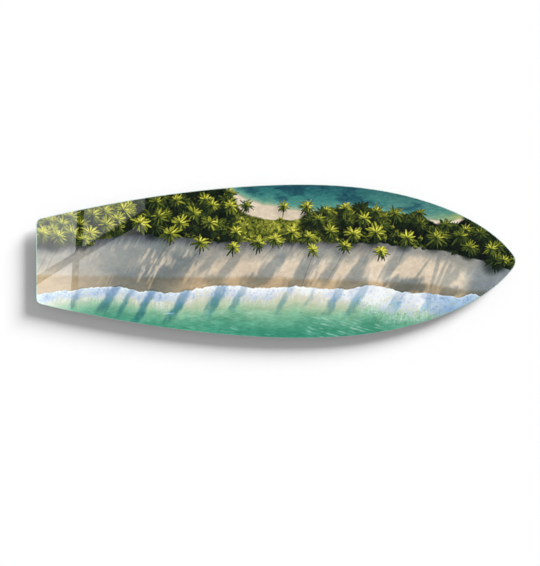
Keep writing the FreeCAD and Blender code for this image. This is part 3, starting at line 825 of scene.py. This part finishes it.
def zinc_sheet():
    """Zinc-plated bent sheet: crystal patches, a faint blue-gold cast and bright cut edges."""
    g = Graph("zinc_plate")
    crystals = g.node("TexVoronoi", Vector=g.place((1, 1, 1)), Scale=190.0, Randomness=1.0).outputs["Color"]
    level = g.node("SeparateColor", Color=crystals).outputs["Red"]
    patches = g.ramp(level, (0.0, (0.35,) * 3), (1.0, (0.70,) * 3))
    fine = g.noise(420, 4)
    base = g.ramp(fine, (0.3, (0.48, 0.495, 0.51)), (0.7, (0.66, 0.675, 0.69)))
    base = g.mix(0.6, base, patches, "SOFT_LIGHT")
    cast = g.ramp(g.noise(22, 3), (0.35, (0.90, 0.95, 1.0)), (0.65, (1.0, 0.975, 0.92)))
    colour = g.mix(1.0, base, cast, "MULTIPLY")
    colour = g.mix(g.math("MULTIPLY", g.edges(EDGE_WEAR), 0.5), colour, (0.86, 0.87, 0.88))
    g.bump(fine, 0.15, 0.00008)
    return g.finish(Base_Color=colour, Metallic=0.95, Roughness=g.spread(fine, 0.26, 0.46))


def bumper_rubber():
    """Matt black rubber: fine grain, dust in patches, and edges rubbed grey."""
    g = Graph("bumper_rubber")
    grain = g.noise(1600, 3)
    dust = g.noise(120, 4)
    colour = g.ramp(dust, (0.4, (0.012, 0.012, 0.013)), (0.75, (0.045, 0.044, 0.042)))
    colour = g.mix(g.math("MULTIPLY", g.edges(0.0005), 0.3), colour, (0.10, 0.10, 0.10))
    g.bump(grain, 0.4, 0.0001)
    return g.finish(Base_Color=colour, Roughness=g.spread(dust, 0.55, 0.8))


def assign(name, material):
    """Gives a CAD node one material on its own slots."""
    node = NODES[name]
    node.data.materials.clear()
    node.data.materials.append(material)


def dress_nodes():
    """A material for every CAD node that shows as it is."""
    assign("white_ink", white_ink())
    assign("safety_film", splinter_film())
    tape = foam_tape()
    for side in ("top", "bottom", "left", "right"):
        assign("bonding_tape_" + side, tape)
    grey, pale = (0.52, 0.53, 0.545), (0.72, 0.73, 0.74)
    level = metal("anodised_level", grey, pale, (0.6, 14, 14), (0.30, 0.42))
    upright = metal("anodised_upright", grey, pale, (14, 14, 0.6), (0.30, 0.42))
    for side in ("top_rail", "bottom_rail"):
        assign("frame_" + side, level)
    for side in ("left_stile", "right_stile"):
        assign("frame_" + side, upright)
    mill = metal("mill_aluminium", (0.42, 0.43, 0.44), (0.64, 0.65, 0.66), (9, 1, 9), (0.36, 0.55))
    bright = metal("rivet_aluminium", (0.60, 0.61, 0.62), (0.82, 0.82, 0.83), (4, 4, 4), (0.18, 0.34))
    for corner in ("top_left", "top_right", "bottom_left", "bottom_right"):
        assign("corner_angle_" + corner, mill)
        assign("corner_rivets_" + corner, bright)
    zinc, rubber = zinc_sheet(), bumper_rubber()
    plated = metal("plated_screw", (0.40, 0.41, 0.44), (0.66, 0.67, 0.70), (20, 20, 60), (0.22, 0.38), 90.0)
    for side in ("left", "right"):
        assign("wall_hanger_" + side, zinc)
        assign("weld_nut_" + side, zinc)
        assign("levelling_screw_" + side, plated)
        assign("bumper_screw_" + side, plated)
        assign("wall_bumper_" + side, rubber)


def dress_glass(pane):
    """Clear front, see-through back and ground rim, by the way each face looks."""
    pane.data.materials.clear()
    for material in (clear_glass(), inner_glass(), ground_glass()):
        pane.data.materials.append(material)
    for face in pane.data.polygons:
        face.material_index = 0 if face.normal.y < -0.98 else 1 if face.normal.y > 0.98 else 2
        face.use_smooth = False


# ---- stage, light and camera --------------------------------------------------------------------
STAGE_REACH = 6.0
WALL_BEHIND = 0.2 * MM  # the wall stands this far behind the bumpers, so the two never coincide


def slab(name, corners):
    """One flat face that isn't part of the object."""
    piece = mesh_object(name, corners, [(0, 1, 2, 3)])
    return piece


def wall_material():
    """White paint, seen only from the room: from behind the wall is not there."""
    g = Graph("wall_paint")
    tone = g.ramp(g.noise(30, 4), (0.4, (WALL_WHITE - 0.004,) * 3), (0.6, (WALL_WHITE,) * 3))
    paint = g.node("BsdfDiffuse", Color=tone).outputs["BSDF"]
    clear = g.node("BsdfTransparent").outputs["BSDF"]
    behind = g.node("NewGeometry").outputs["Backfacing"]
    both = g.node("MixShader", Fac=behind, i1=paint, i2=clear).outputs["Shader"]
    g.tree.links.new(both, g.output.inputs["Surface"])
    g.tree.nodes.remove(g.shader)
    return g.material


def build_stage():
    """The wall that the panel hangs on, and a pale floor below."""
    far, down = STAGE_REACH, -FLOOR_DROP
    upright = ((-far, down), (far, down), (far, far), (-far, far))
    wall = slab("wall", [(x, WALL_BEHIND, z) for x, z in upright])
    wall.data.materials.append(wall_material())
    wall.visible_shadow = False
    wall.visible_glossy = False
    floor = slab("floor", [(x, y, down) for x, y in ((-far, -far), (far, -far), (far, far), (-far, far))])
    g = Graph("floor_paint")
    tone = g.ramp(g.noise(8, 4), (0.4, (0.80, 0.80, 0.79)), (0.6, (0.82, 0.82, 0.81)))
    floor.data.materials.append(g.finish(Base_Color=tone, Roughness=g.spread(g.noise(20), 0.6, 0.8)))
    floor.visible_diffuse = False
    floor.visible_glossy = False


# The window that the glass reflects, by where its panes show on the board, in millimetres along and
# across it: corners, brightness, and how much of that is left at the far end and at the foot.
WINDOW_PANES = {
    "upper_left": ([(-60, 250), (101, 250), (90, 21), (-60, -70)], 1.33, 1.0, 1.1),
    "lower_left": ([(-60, -94), (83, -2), (76, -190), (-60, -190)], 1.85, 0.95, 0.90),
    "upper_right": ([(117, 250), (250, 250), (250, 119), (106, 32)], 0.92, 0.6, 0.9),
    "lower_right": ([(99, 2), (250, 92), (250, -190), (91, -190)], 1.42, 0.25, 0.10),
}


DAYLIGHT = (0.97, 0.985, 1.0, 1.0)


def mirrored(along, across):
    """Where a thing stands, at the camera's distance, for the glass to show it at a place on the board."""
    x, z = LOW.x + along * MM, AXIS_Z + across * MM
    return 2 * x - CAMERA_X, GLASS_FRONT - CAMERA_DISTANCE, 2 * z - CAMERA_Z


def build_window():
    """Bright panes that only reflections can see."""
    for name, (corners, brightness, far, foot) in WINDOW_PANES.items():
        points = [mirrored(*corner) for corner in corners]
        pane_light = slab("window_" + name, points)
        xs, zs = [p[0] for p in points], [p[2] for p in points]
        g = Graph("window_" + name)
        axes = g.node("SeparateXYZ", Vector=g.place((1, 1, 1))).outputs
        along = g.node("MapRange", Value=axes["X"], i1=min(xs), i2=max(xs), i3=1.0, i4=far)
        down = g.node("MapRange", Value=axes["Z"], i1=max(zs), i2=min(zs), i3=1.0, i4=foot)
        for fade in (along, down):
            fade.interpolation_type = "SMOOTHSTEP"
        share = g.math("MULTIPLY", along.outputs["Result"], down.outputs["Result"])
        glow = g.node("Emission", Color=DAYLIGHT, Strength=g.math("MULTIPLY", share, brightness))
        g.tree.links.new(glow.outputs["Emission"], g.output.inputs["Surface"])
        g.tree.nodes.remove(g.shader)
        g.material.cycles.emission_sampling = "NONE"
        pane_light.data.materials.append(g.material)
        for ray in ("camera", "diffuse", "transmission", "volume_scatter", "shadow"):
            setattr(pane_light, "visible_" + ray, False)


def add_sun(name, direction, strength, angle):
    light = bpy.data.lights.new(name, "SUN")
    light.energy = strength
    light.angle = angle
    piece = bpy.data.objects.new(name, light)
    piece.rotation_euler = Vector(direction).to_track_quat("Z", "Y").to_euler()
    bpy.context.scene.collection.objects.link(piece)
    return piece


def build_light():
    """A sun from the upper right in front, a softer one behind that metal doesn't mirror, and the room."""
    add_sun("sun", SUN_FROM, SUN_STRENGTH, SUN_ANGLE)
    rear = add_sun("rear_soft", REAR_FROM, REAR_STRENGTH, REAR_ANGLE)
    rear.data.cycles.max_bounces = 0
    rear.visible_glossy = False
    build_room()


def build_room():
    """The surroundings: even light, white to the camera, and dim on the camera's side to reflections."""
    world = bpy.data.worlds.new("room")
    bpy.context.scene.world = world
    world.use_nodes = True
    tree = world.node_tree
    lit = tree.nodes["Background"]
    mirrored_room, seen = [tree.nodes.new("ShaderNodeBackground") for _ in range(2)]
    for background, strength in ((lit, SKY_STRENGTH), (mirrored_room, 1.0), (seen, 1.0)):
        background.inputs["Color"].default_value = (1.0, 1.0, 1.0, 1.0)
        background.inputs["Strength"].default_value = strength
    where = tree.nodes.new("ShaderNodeTexCoord")
    axes = tree.nodes.new("ShaderNodeSeparateXYZ")
    side = tree.nodes.new("ShaderNodeMapRange")
    spans = (("From Min", -0.4), ("From Max", 0.6), ("To Min", DIM_ROOM), ("To Max", BRIGHT_ROOM))
    for socket, value in spans:
        side.inputs[socket].default_value = value
    tree.links.new(where.outputs["Generated"], axes.inputs["Vector"])
    tree.links.new(axes.outputs["Y"], side.inputs["Value"])
    tree.links.new(side.outputs["Result"], mirrored_room.inputs["Strength"])
    path = tree.nodes.new("ShaderNodeLightPath")
    made = lit
    for ray, background in (("Is Glossy Ray", mirrored_room), ("Is Camera Ray", seen)):
        pick = tree.nodes.new("ShaderNodeMixShader")
        tree.links.new(path.outputs[ray], pick.inputs[0])
        tree.links.new(made.outputs[0], pick.inputs[1])
        tree.links.new(background.outputs[0], pick.inputs[2])
        made = pick
    tree.links.new(made.outputs[0], tree.nodes["World Output"].inputs["Surface"])


def build_camera():
    """Level and square to the wall, a little below the board's axis and to the left of its middle."""
    camera = bpy.data.cameras.new("camera")
    camera.lens = LENS_MM
    camera.sensor_width = SENSOR_MM
    piece = bpy.data.objects.new("camera", camera)
    piece.location = (CAMERA_X, GLASS_FRONT - CAMERA_DISTANCE, CAMERA_Z)
    piece.rotation_euler = (math.pi / 2, 0, 0)
    bpy.context.scene.collection.objects.link(piece)
    bpy.context.scene.camera = piece
    bpy.context.scene.view_settings.view_transform = "Standard"


# ---- assembly -----------------------------------------------------------------------------------
build_camera()
build_stage()
build_window()
build_light()

beach = print_layer(paint_beach())
beach.data.materials.append(print_ink())
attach(beach, "panel")
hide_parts("image_ink")

pane = glass_pane()
dress_glass(pane)
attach(pane, "panel")
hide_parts("glass_panel")

dress_nodes()
